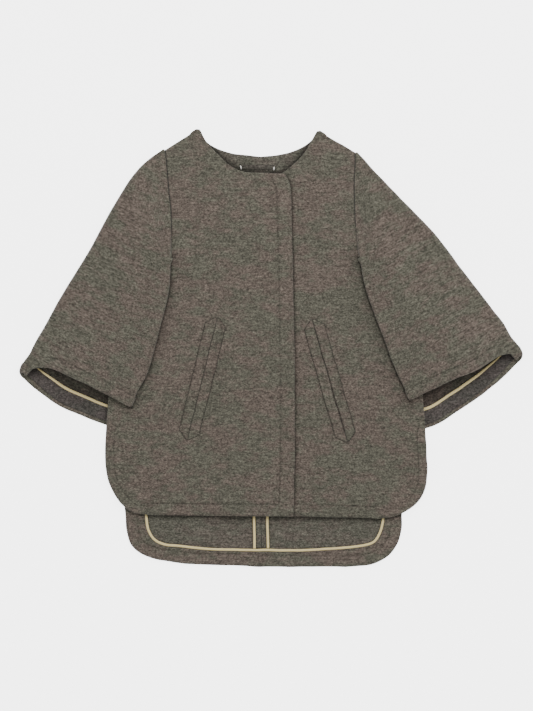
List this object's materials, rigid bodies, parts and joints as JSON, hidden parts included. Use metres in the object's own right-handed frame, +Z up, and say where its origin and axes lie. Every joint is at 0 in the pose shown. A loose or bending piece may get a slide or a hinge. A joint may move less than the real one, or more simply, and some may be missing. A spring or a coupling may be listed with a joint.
{
  "type": "cape coat",
  "caption": "Child's collarless wool cape coat laid flat, with wide sleeves, a fly front, slanted welt pockets and a rounded, longer back.",
  "frame": {"origin": "middle of the coat's footprint, on the surface that it lies on", "axes": "+X to the wearer's left, +Y to the neck, +Z up out of the surface"},
  "size_m": [0.6266, 0.545, 0.0271],
  "materials": {
    "wool": "brushed heathered olive-grey wool",
    "wool_inside": "the same wool, inside face",
    "binding": "cream woven bias binding",
    "label": "plain woven label with nothing on it"
  },
  "bodies": {
    "root": {"front_right": "wool", "front_left": "wool", "back_right": "wool_inside", "back_left": "wool_inside", "sleeve_right": "wool", "sleeve_left": "wool", "pocket_welt_right_inner": "wool", "pocket_welt_right_outer": "wool", "pocket_welt_left_inner": "wool", "pocket_welt_left_outer": "wool", "cuff_facing_right": "wool_inside", "cuff_facing_left": "wool_inside", "cuff_binding_right": "binding", "cuff_binding_left": "binding", "back_hem_facing": "wool_inside", "back_hem_binding": "binding", "back_seam_allowance_right": "wool_inside", "back_seam_allowance_left": "wool_inside", "back_seam_binding_right": "binding", "back_seam_binding_left": "binding", "back_neck_facing": "wool_inside", "neck_label": "label"}
  },
  "joints": []
}
